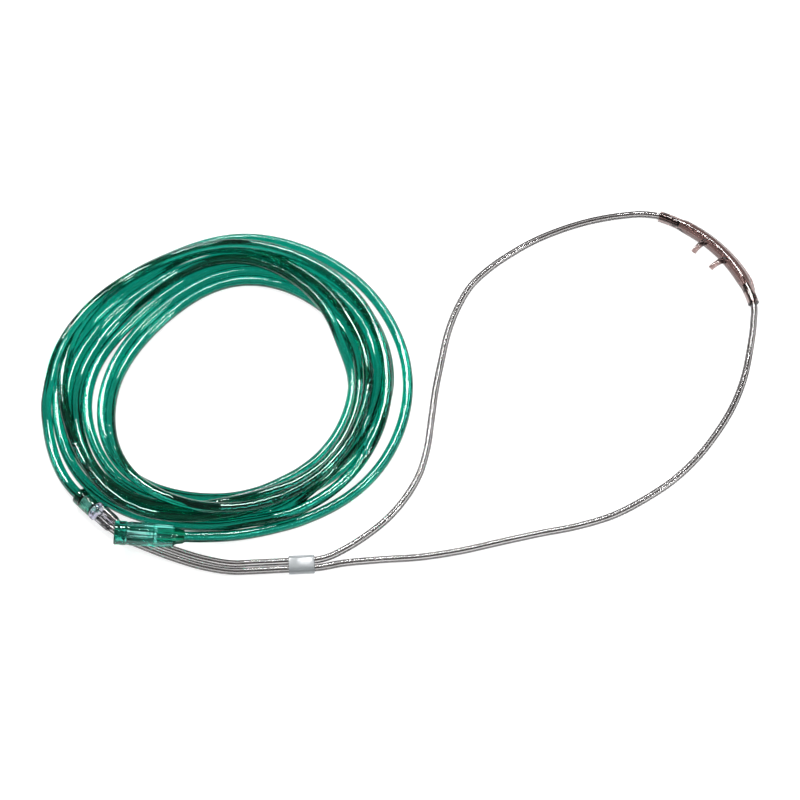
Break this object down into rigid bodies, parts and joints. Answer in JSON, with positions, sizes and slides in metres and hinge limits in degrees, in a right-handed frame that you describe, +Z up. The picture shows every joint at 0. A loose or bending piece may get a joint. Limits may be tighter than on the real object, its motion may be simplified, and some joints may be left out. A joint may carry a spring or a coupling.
{
  "type": "nasal oxygen cannula with supply tube",
  "caption": "Nasal oxygen cannula: nose piece with prongs, twin lariats, cinch slide, wye connector and a coiled green supply tube with push-on end connector.",
  "frame": {"origin": "on the table, under the centre of the box around the cannula's own pieces (wye, slide and nose piece), with the cords left out", "axes": "+Z up from the table, +X from the wye and coil towards the nose piece, +Y away from the viewer"},
  "size_m": [0.4001, 0.2321, 0.0211],
  "materials": {
    "nose_vinyl": "soft clear vinyl with a brown-mauve tint, glossy",
    "lariat_tube": "clear flexible vinyl tube, glossy",
    "slide_plastic": "translucent white extruded vinyl",
    "wye_plastic": "clear moulded vinyl, glossy",
    "supply_fitting": "green translucent moulded vinyl, glossy",
    "supply_tube": "deep green translucent vinyl tube, glossy"
  },
  "bodies": {
    "cannula": {"nose_piece": "nose_vinyl", "lariat_left": "lariat_tube", "lariat_right": "lariat_tube", "wye_connector": "wye_plastic"},
    "slide": {"lariat_slide": "slide_plastic"},
    "supply": {"supply_cuff": "supply_fitting", "supply_lead_in": "supply_tube", "supply_coil": "supply_tube", "supply_lead_out": "supply_tube", "end_connector": "supply_fitting"}
  },
  "joints": [
    {"name": "slide_along_lariats", "type": "slide", "parent": "cannula", "child": "slide", "axis": [-0.9986, -0.0523, 0], "range_m": [0, 0.025]},
    {"name": "supply_pull_off", "type": "slide", "parent": "cannula", "child": "supply", "axis": [-0.7314, 0.682, 0], "range_m": [0, 0.0085]}
  ]
}
